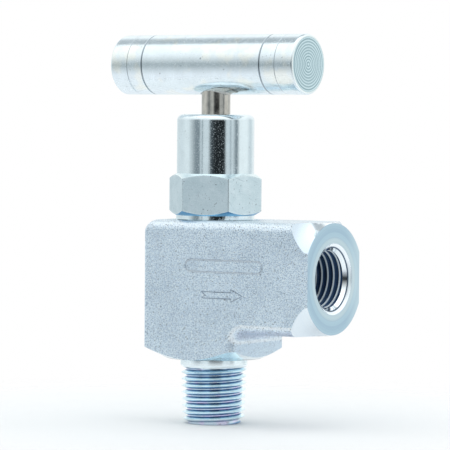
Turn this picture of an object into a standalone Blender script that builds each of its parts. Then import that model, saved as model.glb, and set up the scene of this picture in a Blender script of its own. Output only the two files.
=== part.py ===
"""Angle needle valve with a T-handle, as an assembly of separate pieces.

The frame: the origin is the centre of the inlet thread's end face, +Z runs up the stem's axis and
+X points out of the outlet port. Lengths are in metres. The valve is shown part open: the spindle
screws down two turns to close it and up one turn to its back seat.
"""

import math
from collections import namedtuple

import bmesh
import bpy
from mathutils import Matrix, Vector

MM = 0.001

# Forged body: a square column under a bonnet, with the outlet boss on one side.
BODY_HALF_WIDTH = 10.35 * MM
BODY_HALF_DEPTH = 11.35 * MM
BODY_BOTTOM = 13.9 * MM
BOSS_HALF_HEIGHT = 11.7 * MM
OUTLET_HEIGHT = 31.5 * MM
OUTLET_REACH = 29.4 * MM
OUTLET_FACE_RADIUS = 11.6 * MM
OUTLET_RELIEF = 5.4 * MM
BOTTOM_FACE_RADIUS = 10.2 * MM
BOTTOM_CONE_SLOPE = 2.0
FORGED_CORNER = 2.8 * MM
FORGED_EDGE = 1.6 * MM
COLUMN_EDGE = 0.8 * MM
FORGED_FILLET = 2.4 * MM
BODY_TOP = OUTLET_HEIGHT + BOSS_HALF_HEIGHT
MARK_DEPTH = 0.25 * MM

# Inlet: a tapered male pipe thread under a plain collar, with the seat at the top of its bore.
PIPE_PITCH = 25.4 / 18 * MM
PIPE_TAPER = 1 / 32
PIPE_DEPTH = 1.1 * MM
INLET_THREAD_LENGTH = 11.85 * MM
INLET_CREST = 6.56 * MM
INLET_CLOCKING = math.radians(160)
INLET_BORE = 2.5 * MM
COLLAR_RADIUS = 7.1 * MM
SEAT_ORIFICE = 1.3 * MM
SEAT_HEIGHT = 27.7 * MM
CHAMBER_FLOOR = 28.2 * MM
CHAMBER_RADIUS = 4.9 * MM
CROSS_HOLE = 2.4 * MM

# Outlet: a tapered female pipe thread behind a countersink in two steps.
OUTLET_COUNTERSINK = 7.42 * MM
OUTLET_STEP = 6.7 * MM
OUTLET_STEP_DEPTH = 0.58 * MM
OUTLET_MOUTH_DEPTH = 1.45 * MM
OUTLET_CREST = 7.1 * MM
OUTLET_THREAD_DEPTH = 12.6 * MM
OUTLET_DRILL_DEPTH = 15.0 * MM

# Bonnet: screwed into the body, with a hexagon below its round housing.
BONNET_PITCH = 1.5 * MM
BONNET_CREST = 7.0 * MM
BONNET_ROOT = 6.1 * MM
SPOT_FACE_RADIUS = 9.1 * MM
SPOT_FACE = BODY_TOP - 0.1 * MM
NOSE_END = 35.25 * MM
GASKET_SHELF = 34.2 * MM
WASHER_FACE_RADIUS = 8.3 * MM
HEX_LOW = 44.05 * MM
HEX_HIGH = 52.9 * MM
HEX_FLATS = 17.46 * MM
HEX_CLOCKING = math.radians(19.1)
HOUSING_RADIUS = 8.2 * MM
HOUSING_TOP = 65.4 * MM
HOUSING_EDGE = 1.3 * MM
SEAL_BORE = 4.5 * MM
SEAL_BORE_TOP = 46.0 * MM
WIPER_LOW = 62.5 * MM
WIPER_HIGH = 64.0 * MM
WIPER_GROOVE = 4.4 * MM

# Spindle: the stem, its seals, its ball tip and the T-handle.
STEM_PITCH = 1.25 * MM
STEM_CREST = 4.0 * MM
STEM_ROOT = 3.28 * MM
THREAD_CLEARANCE = 0.12 * MM
ROD_RADIUS = 3.05 * MM
TOP_HOLE = ROD_RADIUS + 0.12 * MM
SHOULDER_RADIUS = 3.33 * MM
BACK_SEAT_TOP = 57.1 * MM
LIFT_TO_BACK_SEAT = 1.3 * MM
LAND_RADIUS = 4.35 * MM
GROOVE_RADIUS = 3.2 * MM
GROOVE_LOW = 38.0 * MM
GROOVE_HIGH = 42.3 * MM
TIP_RADIUS = 2.75 * MM
BALL_RADIUS = 2.0 * MM
BALL_HEIGHT = 31.8 * MM
HANDLE_HEIGHT = 75.9 * MM
HANDLE_RADIUS = 6.35 * MM
HANDLE_HALF_LENGTH = 23.35 * MM
HANDLE_CHAMFER = 0.5 * MM
HANDLE_CLOCKING = math.radians(-2.0)
SCREW_PITCH = 0.7 * MM
SCREW_CREST = 2.0 * MM
SCREW_ROOT = 1.6 * MM

FINE = 48
MEDIUM = 40
COARSE = 24

# A cut that has to pass right through a surface starts this far outside it.
OVERSHOOT = 1.0 * MM

THREAD_FIELDS = "low high pitch crest root taper low_chamfer high_chamfer"
ROWS_PER_TURN = 2


class Thread(namedtuple("Thread", THREAD_FIELDS, defaults=(0.0, True, True))):
    """A right-hand vee thread from low to high along an outline. Its crests lie half a pitch above each
    whole pitch of height at angle 0, so a screw and its nut are in mesh. Taper is radius per height."""

    def limited(self, radius, height):
        """The radius, less the chamfers that run the thread out at its ends."""
        root = self.root + self.taper * (height - self.low)
        if self.low_chamfer:
            radius = min(radius, root + (height - self.low))
        if self.high_chamfer:
            radius = min(radius, root + (self.high - height))
        return radius

    def end_point(self, angle, height):
        """The radius of the thread where a flat face cuts it."""
        phase = (height / self.pitch - angle / (2 * math.pi)) % 1
        share = 1 - abs(2 * phase - 1)
        radius = self.root + (self.crest - self.root) * share + self.taper * (height - self.low)
        return self.limited(radius, height)

    def points(self, angle):
        """(row, radius, height) from low to high at one angle. Even rows are roots, odd rows crests."""
        start = angle / (2 * math.pi) * self.pitch
        step = self.pitch / ROWS_PER_TURN
        margin = 0.05 * self.pitch
        found = [(-math.inf, self.end_point(angle, self.low), self.low)]
        row = math.ceil((self.low + margin - start) / step)
        while start + row * step < self.high - margin:
            height = start + row * step
            radius = (self.crest if row % 2 else self.root) + self.taper * (height - self.low)
            found.append((row, self.limited(radius, height), height))
            row += 1
        found.append((math.inf, self.end_point(angle, self.high), self.high))
        return found


def stitch(bm, left, right):
    """Faces between two columns of labelled vertices, whose first and last labels agree."""
    i = j = 0
    while i < len(left) - 1 or j < len(right) - 1:
        next_left = left[i + 1][0] if i < len(left) - 1 else (math.inf, 0)
        next_right = right[j + 1][0] if j < len(right) - 1 else (math.inf, 0)
        corners = [left[i][1], right[j][1]]
        if next_right <= next_left:
            j += 1
            corners.append(right[j][1])
        if next_left <= next_right:
            i += 1
            corners.append(left[i][1])
        unique = list(dict.fromkeys(corners))
        if len(unique) > 2:
            bm.faces.new(unique)


def turned(outline, segments, ring=False):
    """A bmesh turned about Z. The outline's items are (radius, height) points and Threads. It starts and
    ends on the axis, or is the closed section of a ring."""
    bm = bmesh.new()
    poles = {}
    columns = []
    for i in range(segments):
        angle = 2 * math.pi * i / segments
        column = []
        for n, item in enumerate(outline):
            rows = item.points(angle) if isinstance(item, Thread) else [(0, *item)]
            for row, radius, height in rows:
                if radius == 0:
                    vertex = poles.get(n) or bm.verts.new((0, 0, height))
                    poles[n] = vertex
                else:
                    place = (radius * math.cos(angle), radius * math.sin(angle), height)
                    vertex = bm.verts.new(place)
                column.append(((n, row), vertex))
        if ring:
            column.append(((len(outline), 0), column[0][1]))
        columns.append(column)
    for i, left in enumerate(columns):
        right = columns[(i + 1) % segments]
        if i == segments - 1:
            right = [(one_turn_on(outline, label), vertex) for label, vertex in right]
        stitch(bm, left, right)
    bmesh.ops.recalc_face_normals(bm, faces=bm.faces)
    return bm


def one_turn_on(outline, label):
    """The label of a vertex at angle 0, as the column one full turn later names it."""
    n, row = label
    if n < len(outline) and isinstance(outline[n], Thread):
        return n, row - ROWS_PER_TURN
    return label


def prism(points, low, high):
    """A bmesh of the flat outline, extruded from low to high along Z."""
    bm = bmesh.new()
    face = bm.faces.new([bm.verts.new((x, y, low)) for x, y in points])
    made = bmesh.ops.extrude_face_region(bm, geom=[face])["geom"]
    lifted = [item for item in made if isinstance(item, bmesh.types.BMVert)]
    bmesh.ops.translate(bm, verts=lifted, vec=(0, 0, high - low))
    bmesh.ops.recalc_face_normals(bm, faces=bm.faces)
    return bm


def hexagon(flats, clocking=0.0):
    """The six corners of a hexagon across these flats, with its first corner at the clocking angle."""
    radius = flats / 2 / math.cos(math.pi / 6)
    angles = [clocking + math.pi / 3 * k for k in range(6)]
    return [(radius * math.cos(angle), radius * math.sin(angle)) for angle in angles]


def arc(centre, radius, start, end, steps):
    """Points on an arc, from one angle to the other in degrees."""
    angles = [math.radians(start + (end - start) * k / steps) for k in range(steps + 1)]
    return [(centre[0] + radius * math.cos(a), centre[1] + radius * math.sin(a)) for a in angles]


def material(name, colour, roughness, metallic=1.0):
    made = bpy.data.materials.get(name)
    if made is None:
        made = bpy.data.materials.new(name)
        made.use_nodes = True
        shader = made.node_tree.nodes["Principled BSDF"]
        shader.inputs["Base Color"].default_value = (*colour, 1.0)
        shader.inputs["Roughness"].default_value = roughness
        shader.inputs["Metallic"].default_value = metallic
    return made


def add(name, bm, finish=None, parent=None, matrix=None):
    """A scene object of the bmesh, turned and moved by the matrix, smooth where its faces meet gently."""
    mesh = bpy.data.meshes.new(name)
    if matrix is not None:
        bm.transform(matrix)
    bm.to_mesh(mesh)
    bm.free()
    mesh.shade_smooth()
    mesh.set_sharp_from_angle(angle=math.radians(32))
    obj = bpy.data.objects.new(name, mesh)
    bpy.context.scene.collection.objects.link(obj)
    if finish:
        mesh.materials.append(finish)
    obj.parent = parent
    return obj


def shape(obj, operation, name, bm, matrix=None):
    """Joins, cuts or trims obj with a helper that the build leaves out."""
    helper = add(name, bm, matrix=matrix)
    helper.hide_render = True
    helper.display_type = "WIRE"
    helper.parent = obj.parent
    boolean = obj.modifiers.new(name, "BOOLEAN")
    boolean.operation = operation
    boolean.object = helper


def along_x(height=0.0):
    """Turns a shape made along Z to lie along +X at this height."""
    return Matrix.Translation((0, 0, height)) @ Matrix.Rotation(math.pi / 2, 4, "Y")


def empty(name, height, clocking=0.0):
    made = bpy.data.objects.new(name, None)
    made.location = (0, 0, height)
    made.rotation_euler = (0, 0, clocking)
    bpy.context.scene.collection.objects.link(made)
    return made


# ---------------------------------------------------------------- body


def forging():
    """The raw forging: the side outline extruded across the body. It runs past the outlet face and the
    bottom face, which are turned afterwards. Its long edges are marked for rounding: full round all
    along, but slim down the back of the column."""
    half = BODY_HALF_WIDTH
    left = -BODY_HALF_DEPTH
    past_outlet = OUTLET_REACH + 3 * MM
    past_bottom = BODY_BOTTOM - 3 * MM
    boss_bottom = OUTLET_HEIGHT - BOSS_HALF_HEIGHT
    corner = (left + FORGED_CORNER, BODY_TOP - FORGED_CORNER)
    fillet = (BODY_HALF_DEPTH + FORGED_FILLET, boss_bottom - FORGED_FILLET)
    outline = [
        (past_outlet, BODY_TOP),
        *arc(corner, FORGED_CORNER, 90, 180, 6),
        (left, past_bottom),
        (BODY_HALF_DEPTH, past_bottom),
        *arc(fillet, FORGED_FILLET, 180, 90, 5),
        (past_outlet, boss_bottom),
    ]
    bm = prism(outline, -half, half)
    weight = bm.edges.layers.float.new("bevel_weight_edge")
    slim = COLUMN_EDGE / FORGED_EDGE
    for edge in bm.edges:
        first, second = (v.co for v in edge.verts)
        if abs(first.z - second.z) < 1e-6:
            upright = abs(first.y - second.y) / (first - second).length
            edge[weight] = 1 + (slim - 1) * upright if first.x < 0 else 1
    # The outline was drawn in X and Y: Y becomes up, and the extrusion runs across the body.
    bm.transform(Matrix.Rotation(math.pi / 2, 4, "X"))
    return bm


def outlet_envelope():
    """Everything that the lathe leaves at the outlet: a flat face, and round it a hollow relief that
    takes the corners off the square boss."""
    far = 40 * MM
    start, end, steps = 10, 78, 5
    centre = (
        OUTLET_FACE_RADIUS + OUTLET_RELIEF * math.cos(math.radians(start)),
        OUTLET_REACH + OUTLET_RELIEF * math.sin(math.radians(start)),
    )
    outline = [
        (0, -far),
        (far, -far),
        (far, OUTLET_REACH - OUTLET_RELIEF),
        *arc(centre, OUTLET_RELIEF, 180 + end, 180 + start, steps),
        (0, OUTLET_REACH),
    ]
    return turned(outline, FINE)


def bottom_cut():
    """What the lathe takes off under the column: below a flat face and the cone around it."""
    low = BODY_BOTTOM - 5 * MM
    edge = 17 * MM
    outline = [
        (0, low),
        (edge, low),
        (edge, BODY_BOTTOM + (edge - BOTTOM_FACE_RADIUS) / BOTTOM_CONE_SLOPE),
        (BOTTOM_FACE_RADIUS, BODY_BOTTOM),
        (0, BODY_BOTTOM),
    ]
    return turned(outline, FINE)


def inlet_stub():
    """The male pipe thread and its collar, reaching up into the forging."""
    thread = Thread(
        0, INLET_THREAD_LENGTH, PIPE_PITCH, INLET_CREST, INLET_CREST - PIPE_DEPTH, PIPE_TAPER, True, False
    )
    root_at_collar = INLET_CREST - PIPE_DEPTH + PIPE_TAPER * INLET_THREAD_LENGTH
    outline = [
        (0, 0),
        thread,
        (root_at_collar, INLET_THREAD_LENGTH + 0.15 * MM),
        (COLLAR_RADIUS, INLET_THREAD_LENGTH + 0.45 * MM),
        (COLLAR_RADIUS, BODY_BOTTOM + 4 * MM),
        (0, BODY_BOTTOM + 4 * MM),
    ]
    return turned(outline, COARSE)


def body_bore():
    """The bore along the stem's axis: inlet, seat, chamber, gasket shelf, bonnet thread, spot face."""
    thread = Thread(
        GASKET_SHELF + 1.5 * MM,
        SPOT_FACE - 0.4 * MM,
        BONNET_PITCH,
        BONNET_CREST + THREAD_CLEARANCE,
        BONNET_ROOT + THREAD_CLEARANCE,
        0.0,
        True,
        False,
    )
    outline = [
        (0, -OVERSHOOT),
        (INLET_BORE, -OVERSHOOT),
        (INLET_BORE, SEAT_HEIGHT - 3.2 * MM),
        (SEAT_ORIFICE, SEAT_HEIGHT - 2.5 * MM),
        (SEAT_ORIFICE, SEAT_HEIGHT),
        (SEAT_ORIFICE + CHAMBER_FLOOR - SEAT_HEIGHT, CHAMBER_FLOOR),
        (CHAMBER_RADIUS, CHAMBER_FLOOR),
        (CHAMBER_RADIUS, GASKET_SHELF),
        (BONNET_ROOT, GASKET_SHELF),
        thread,
        (BONNET_CREST + 0.3 * MM, SPOT_FACE),
        (SPOT_FACE_RADIUS, SPOT_FACE),
        (SPOT_FACE_RADIUS, BODY_TOP + OVERSHOOT),
        (0, BODY_TOP + OVERSHOOT),
    ]
    return turned(outline, COARSE)


def outlet_bore():
    """The cross hole, tap drill, tapered thread and countersink, from the chamber out past the face."""
    low = OUTLET_REACH - OUTLET_THREAD_DEPTH
    high = OUTLET_REACH - OUTLET_MOUTH_DEPTH
    crest = OUTLET_CREST - PIPE_TAPER * OUTLET_THREAD_DEPTH
    thread = Thread(low, high, PIPE_PITCH, crest, crest - PIPE_DEPTH, PIPE_TAPER, True, False)
    drill = crest - PIPE_DEPTH
    drill_end = OUTLET_REACH - OUTLET_DRILL_DEPTH
    past = 0.5 * MM
    outline = [
        (0, CHAMBER_RADIUS - 2 * MM),
        (CROSS_HOLE, CHAMBER_RADIUS - 2 * MM),
        (CROSS_HOLE, drill_end - 1.5 * MM),
        (drill, drill_end),
        thread,
        (OUTLET_CREST - PIPE_DEPTH, high),
        (OUTLET_STEP, OUTLET_REACH - OUTLET_STEP_DEPTH),
        (OUTLET_COUNTERSINK, OUTLET_REACH),
        (OUTLET_COUNTERSINK + past, OUTLET_REACH + past),
        (0, OUTLET_REACH + past),
    ]
    return turned(outline, COARSE)


def flow_arrow():
    """A stamped arrow that shows the flow from the inlet to the outlet."""
    shaft = 0.75 * MM
    head = 1.35 * MM
    tail, notch, neck, tip = 3.6 * MM, 4.4 * MM, 10.8 * MM, 13.6 * MM
    middle = 27.8 * MM
    outline = [
        (tail, middle - shaft),
        (neck, middle - shaft),
        (neck, middle - head),
        (tip, middle),
        (neck, middle + head),
        (neck, middle + shaft),
        (tail, middle + shaft),
        (notch, middle),
    ]
    return prism(outline, BODY_HALF_WIDTH - MARK_DEPTH, BODY_HALF_WIDTH + OVERSHOOT)


def blank_panel():
    """A plain stamped panel with round ends, where a maker would put a rating."""
    left, right, middle, end = 0.7 * MM, 17.1 * MM, 33.8 * MM, 1.35 * MM
    outline = [
        *arc((right, middle), end, -90, 90, 6),
        *arc((left, middle), end, 90, 270, 6),
    ]
    return prism(outline, BODY_HALF_WIDTH - MARK_DEPTH, BODY_HALF_WIDTH + OVERSHOOT)


def make_body(finish):
    upright = Matrix.Rotation(math.pi / 2, 4, "X")
    body = add("valve_body", forging(), finish)
    rounding = body.modifiers.new("forged_edges", "BEVEL")
    rounding.width = FORGED_EDGE
    rounding.segments = 4
    rounding.limit_method = "WEIGHT"
    shape(body, "INTERSECT", "outlet_envelope", outlet_envelope(), along_x(OUTLET_HEIGHT))
    shape(body, "DIFFERENCE", "bottom_cut", bottom_cut())
    shape(body, "UNION", "inlet_stub", inlet_stub(), Matrix.Rotation(INLET_CLOCKING, 4, "Z"))
    shape(body, "DIFFERENCE", "body_bore", body_bore())
    shape(body, "DIFFERENCE", "outlet_bore", outlet_bore(), along_x(OUTLET_HEIGHT))
    shape(body, "DIFFERENCE", "flow_arrow", flow_arrow(), upright)
    shape(body, "DIFFERENCE", "blank_panel", blank_panel(), upright)


# ---------------------------------------------------------------- bonnet


def hex_section():
    """The hexagon, whose corners are turned off at both ends by 30 degree chamfers."""
    return prism(hexagon(HEX_FLATS, HEX_CLOCKING), HEX_LOW, HEX_HIGH)


def hex_envelope():
    corner = HEX_FLATS / 2 / math.cos(math.pi / 6)
    inner = HEX_FLATS / 2 - 0.5 * MM
    outer = corner + 1 * MM
    rise = (outer - inner) * math.tan(math.radians(30))
    outline = [
        (0, HEX_LOW),
        (inner, HEX_LOW),
        (outer, HEX_LOW + rise),
        (outer, HEX_HIGH - rise),
        (inner, HEX_HIGH),
        (0, HEX_HIGH),
    ]
    return turned(outline, FINE)


def bonnet_core():
    """The turned parts above and below the hexagon: the round housing, washer face and threaded nose."""
    thread = Thread(
        NOSE_END + 0.9 * MM, SPOT_FACE - 1.0 * MM, BONNET_PITCH, BONNET_CREST, BONNET_ROOT, 0.0, True, True
    )
    edge = arc((HOUSING_RADIUS - HOUSING_EDGE, HOUSING_TOP - HOUSING_EDGE), HOUSING_EDGE, 0, 90, 4)
    outline = [
        (0, NOSE_END),
        (BONNET_ROOT - 0.3 * MM, NOSE_END),
        thread,
        (BONNET_ROOT, SPOT_FACE + 0.05 * MM),
        (WASHER_FACE_RADIUS, SPOT_FACE + 0.05 * MM),
        (WASHER_FACE_RADIUS, HEX_LOW + 0.5 * MM),
        (HOUSING_RADIUS, HEX_LOW + 0.5 * MM),
        *edge,
        (0, HOUSING_TOP),
    ]
    return turned(outline, MEDIUM)


def bonnet_bore():
    """The seal bore, stem thread, back seat, wiper groove and top hole."""
    major = STEM_CREST + THREAD_CLEARANCE
    back_seat_low = BACK_SEAT_TOP - (major - TOP_HOLE)
    thread = Thread(
        SEAL_BORE_TOP + 0.3 * MM,
        back_seat_low - 0.6 * MM,
        STEM_PITCH,
        major,
        STEM_ROOT + THREAD_CLEARANCE,
        0.0,
        False,
        False,
    )
    outline = [
        (0, NOSE_END - OVERSHOOT),
        (SEAL_BORE, NOSE_END - OVERSHOOT),
        (SEAL_BORE, SEAL_BORE_TOP),
        thread,
        (major, back_seat_low - 0.6 * MM),
        (major, back_seat_low),
        (TOP_HOLE, BACK_SEAT_TOP),
        (TOP_HOLE, WIPER_LOW),
        (WIPER_GROOVE, WIPER_LOW),
        (WIPER_GROOVE, WIPER_HIGH),
        (TOP_HOLE, WIPER_HIGH),
        (TOP_HOLE, HOUSING_TOP - 0.4 * MM),
        (TOP_HOLE + 0.4 * MM + OVERSHOOT, HOUSING_TOP + OVERSHOOT),
        (0, HOUSING_TOP + OVERSHOOT),
    ]
    return turned(outline, COARSE)


def make_bonnet(finish):
    bonnet = add("bonnet", hex_section(), finish)
    shape(bonnet, "INTERSECT", "hex_envelope", hex_envelope())
    shape(bonnet, "UNION", "bonnet_core", bonnet_core())
    shape(bonnet, "DIFFERENCE", "bonnet_bore", bonnet_bore())


# ---------------------------------------------------------------- spindle


def make_stem(finish, parent):
    """One turned stem: ball cup, seal land with its groove, thread, back seat and plain rod."""
    cup = BALL_RADIUS + 0.08 * MM
    lip = BALL_RADIUS - 0.14 * MM
    tip = BALL_HEIGHT - 0.9 * MM
    cup_top = BALL_HEIGHT + BALL_RADIUS + 0.1 * MM
    thread_low = GROOVE_HIGH + 4.4 * MM
    thread_high = 53.6 * MM
    shoulder_top = BACK_SEAT_TOP - LIFT_TO_BACK_SEAT
    rod_top = HANDLE_HEIGHT + 3.0 * MM
    outline = [
        (0, cup_top),
        (cup * 0.55, cup_top),
        (cup, BALL_HEIGHT + BALL_RADIUS * 0.5),
        (cup, tip + 0.55 * MM),
        (lip, tip + 0.1 * MM),
        (lip, tip),
        (TIP_RADIUS - 0.45 * MM, tip),
        (TIP_RADIUS, tip + 0.9 * MM),
        (TIP_RADIUS, GROOVE_LOW - 2.7 * MM),
        (LAND_RADIUS - 0.3 * MM, GROOVE_LOW - 1.4 * MM),
        (LAND_RADIUS, GROOVE_LOW - 1.1 * MM),
        (LAND_RADIUS, GROOVE_LOW),
        (GROOVE_RADIUS, GROOVE_LOW),
        (GROOVE_RADIUS, GROOVE_HIGH),
        (LAND_RADIUS, GROOVE_HIGH),
        (LAND_RADIUS, GROOVE_HIGH + 0.8 * MM),
        (LAND_RADIUS - 0.3 * MM, GROOVE_HIGH + 1.1 * MM),
        (STEM_ROOT, GROOVE_HIGH + 1.1 * MM),
        Thread(thread_low, thread_high, STEM_PITCH, STEM_CREST, STEM_ROOT, 0.0, True, True),
        (SHOULDER_RADIUS, thread_high + 0.1 * MM),
        (SHOULDER_RADIUS, shoulder_top - (SHOULDER_RADIUS - TOP_HOLE)),
        (ROD_RADIUS, shoulder_top + TOP_HOLE - ROD_RADIUS),
        (ROD_RADIUS, rod_top - 0.4 * MM),
        (ROD_RADIUS - 0.4 * MM, rod_top),
        (0, rod_top),
    ]
    down = Matrix.Translation((0, 0, -parent.location.z))
    add("stem", turned(outline, COARSE), finish, parent, down)


def ring_section(inner, outer, low, high):
    """The closed section of a flat ring."""
    return [(inner, low), (outer, low), (outer, high), (inner, high)]


def make_stem_seals(rubber, ptfe, parent):
    """The O-ring between two backup rings, which ride in the stem's groove."""
    inner = GROOVE_RADIUS + 0.03 * MM
    outer = SEAL_BORE - 0.07 * MM
    gap = 0.04 * MM
    backup = 1.3 * MM
    down = Matrix.Translation((0, 0, -parent.location.z))
    lower = ring_section(inner, outer, GROOVE_LOW + gap, GROOVE_LOW + backup)
    upper = ring_section(inner, outer, GROOVE_HIGH - backup, GROOVE_HIGH - gap)
    add("backup_ring_lower", turned(lower, COARSE, ring=True), ptfe, parent, down)
    add("backup_ring_upper", turned(upper, COARSE, ring=True), ptfe, parent, down)
    cord = (outer - inner) / 2
    middle = ((inner + outer) / 2, (GROOVE_LOW + GROOVE_HIGH) / 2)
    section = arc(middle, cord, 0, 315, 7)
    add("stem_o_ring", turned(section, COARSE, ring=True), rubber, parent, down)


def make_ball(finish, parent):
    """The hardened ball in the stem's cup, which seats without turning."""
    outline = [(0, -BALL_RADIUS), *arc((0, 0), BALL_RADIUS, -72, 72, 8), (0, BALL_RADIUS)]
    add("ball_tip", turned(outline, COARSE), finish, parent)


def handle_outline():
    """The bar's outline: chamfered ends, and near each end a fine and a wide ring groove."""
    end = HANDLE_HALF_LENGTH
    radius = HANDLE_RADIUS
    half = [(0, end), (radius - HANDLE_CHAMFER, end), (radius, end - HANDLE_CHAMFER)]
    for inset, depth in ((4.4 * MM, 0.1 * MM), (8.2 * MM, 0.22 * MM)):
        half += [
            (radius, end - inset + depth),
            (radius - depth, end - inset),
            (radius, end - inset - depth),
        ]
    return [(r, -z) for r, z in half] + [(r, z) for r, z in reversed(half)]


def make_handle(bar_finish, screw_finish, parent):
    bar = add("handle_bar", turned(handle_outline(), MEDIUM), bar_finish, parent, along_x())
    hole = ROD_RADIUS + 0.06 * MM
    socket = [
        (0, -HANDLE_RADIUS - OVERSHOOT),
        (hole + 0.5 * MM + OVERSHOOT, -HANDLE_RADIUS - OVERSHOOT),
        (hole, -HANDLE_RADIUS + 0.5 * MM),
        (hole, 3.2 * MM),
        (0, 4.6 * MM),
    ]
    shape(bar, "DIFFERENCE", "stem_socket", turned(socket, COARSE))
    # The set screw comes in from the back, square to the bar and to the stem.
    backwards = Matrix.Rotation(-math.pi / 2, 4, "X")
    mouth = HANDLE_RADIUS + OVERSHOOT
    tapped = [
        (0, 1.5 * MM),
        (SCREW_ROOT, 1.5 * MM),
        Thread(
            2.2 * MM,
            HANDLE_RADIUS - 0.35 * MM,
            SCREW_PITCH,
            SCREW_CREST + THREAD_CLEARANCE,
            SCREW_ROOT + THREAD_CLEARANCE,
            0.0,
            True,
            False,
        ),
        (SCREW_CREST + THREAD_CLEARANCE, HANDLE_RADIUS - 0.35 * MM),
        (SCREW_CREST + THREAD_CLEARANCE, mouth),
        (0, mouth),
    ]
    shape(bar, "DIFFERENCE", "set_screw_hole", turned(tapped, COARSE), backwards)
    low, high = ROD_RADIUS + 0.08 * MM, HANDLE_RADIUS - 0.55 * MM
    screw_outline = [
        (0, low + 0.3 * MM),
        (SCREW_ROOT - 0.7 * MM, low),
        (SCREW_ROOT - 0.3 * MM, low),
        Thread(low + 0.25 * MM, high, SCREW_PITCH, SCREW_CREST, SCREW_ROOT, 0.0, True, True),
        (0, high),
    ]
    screw = add("handle_set_screw", turned(screw_outline, COARSE), screw_finish, parent, backwards)
    key = prism(hexagon(2.0 * MM), high - 1.3 * MM, high + OVERSHOOT)
    shape(screw, "DIFFERENCE", "set_screw_key", key, backwards)


# ---------------------------------------------------------------- fixed seals


def make_fixed_seals(copper, urethane):
    gap = 0.05 * MM
    gasket = ring_section(
        CHAMBER_RADIUS + gap, BONNET_ROOT - 2 * gap, GASKET_SHELF + gap, NOSE_END - gap
    )
    add("bonnet_gasket", turned(gasket, COARSE, ring=True), copper)
    lip = ROD_RADIUS + 0.05 * MM
    wiper = [
        (WIPER_GROOVE - gap, WIPER_LOW + gap),
        (WIPER_GROOVE - gap, WIPER_HIGH - gap),
        (lip, WIPER_HIGH - gap),
        (lip + 0.35 * MM, WIPER_LOW + 0.6 * MM),
        (lip + 0.35 * MM, WIPER_LOW + gap),
    ]
    add("stem_wiper", turned(wiper, COARSE, ring=True), urethane)


def main():
    for obj in list(bpy.data.objects):
        bpy.data.objects.remove(obj)
    zinc_forged = material("zinc_plated_forging", (0.66, 0.71, 0.76), 0.5)
    zinc_turned = material("zinc_plated_steel", (0.78, 0.81, 0.84), 0.22)
    stainless = material("stainless_steel", (0.56, 0.53, 0.49), 0.3)
    black_oxide = material("black_oxide_steel", (0.05, 0.05, 0.05), 0.45)
    copper = material("copper", (0.80, 0.42, 0.28), 0.35)
    rubber = material("nitrile_rubber", (0.02, 0.02, 0.02), 0.7, 0.0)
    ptfe = material("ptfe", (0.90, 0.90, 0.88), 0.5, 0.0)
    urethane = material("urethane", (0.10, 0.16, 0.28), 0.5, 0.0)

    make_body(zinc_forged)
    make_bonnet(zinc_turned)
    make_fixed_seals(copper, urethane)

    # The tip slides along the stem's axis; the spindle turns about it, on the tip.
    tip = empty("tip_slide", BALL_HEIGHT)
    make_ball(stainless, tip)
    spindle = empty("spindle_axis", 0.0)
    make_stem(stainless, spindle)
    make_stem_seals(rubber, ptfe, spindle)
    handle = empty("handle_axis", HANDLE_HEIGHT, HANDLE_CLOCKING)
    make_handle(zinc_turned, black_oxide, handle)


main()
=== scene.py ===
"""The finished look of the angle needle valve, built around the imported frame.

Every visible CAD node is replaced by a finer piece of the same overall size, to 0.02 mm: rounder edges,
full thread forms, tool marks. Lengths are in metres in the row frame: the origin is the centre of the
inlet's end face, +Z runs up the stem's axis and +X points out of the outlet.
"""

import math
from collections import namedtuple

import bmesh
import bpy
from mathutils import Matrix, Vector


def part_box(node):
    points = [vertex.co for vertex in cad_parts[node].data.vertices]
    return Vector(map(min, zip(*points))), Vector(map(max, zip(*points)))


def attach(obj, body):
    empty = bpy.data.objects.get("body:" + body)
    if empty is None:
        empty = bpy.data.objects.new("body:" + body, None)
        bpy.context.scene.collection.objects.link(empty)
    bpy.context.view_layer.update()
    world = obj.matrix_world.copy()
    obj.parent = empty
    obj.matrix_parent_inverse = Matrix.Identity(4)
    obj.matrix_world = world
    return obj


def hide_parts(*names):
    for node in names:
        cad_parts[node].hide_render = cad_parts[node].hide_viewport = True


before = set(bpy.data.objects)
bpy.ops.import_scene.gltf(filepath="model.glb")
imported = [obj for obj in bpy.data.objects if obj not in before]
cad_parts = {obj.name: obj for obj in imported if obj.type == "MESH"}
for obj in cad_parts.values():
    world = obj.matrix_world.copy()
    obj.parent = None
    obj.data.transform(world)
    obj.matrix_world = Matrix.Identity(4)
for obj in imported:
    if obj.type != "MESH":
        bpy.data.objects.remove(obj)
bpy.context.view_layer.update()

MM = 0.001

# Sizes read from the frame.
BODY_LOW, BODY_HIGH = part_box("valve_body")
BAR_LOW, BAR_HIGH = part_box("handle_bar")
BODY_HALF_WIDTH = BODY_HIGH.y
BODY_HALF_DEPTH = -BODY_LOW.x
BODY_TOP = BODY_HIGH.z
OUTLET_REACH = BODY_HIGH.x
HOUSING_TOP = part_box("bonnet")[1].z
ROD_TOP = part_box("stem")[1].z
HANDLE_RADIUS = (BAR_HIGH.z - BAR_LOW.z) / 2
HANDLE_HEIGHT = (BAR_HIGH.z + BAR_LOW.z) / 2

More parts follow.
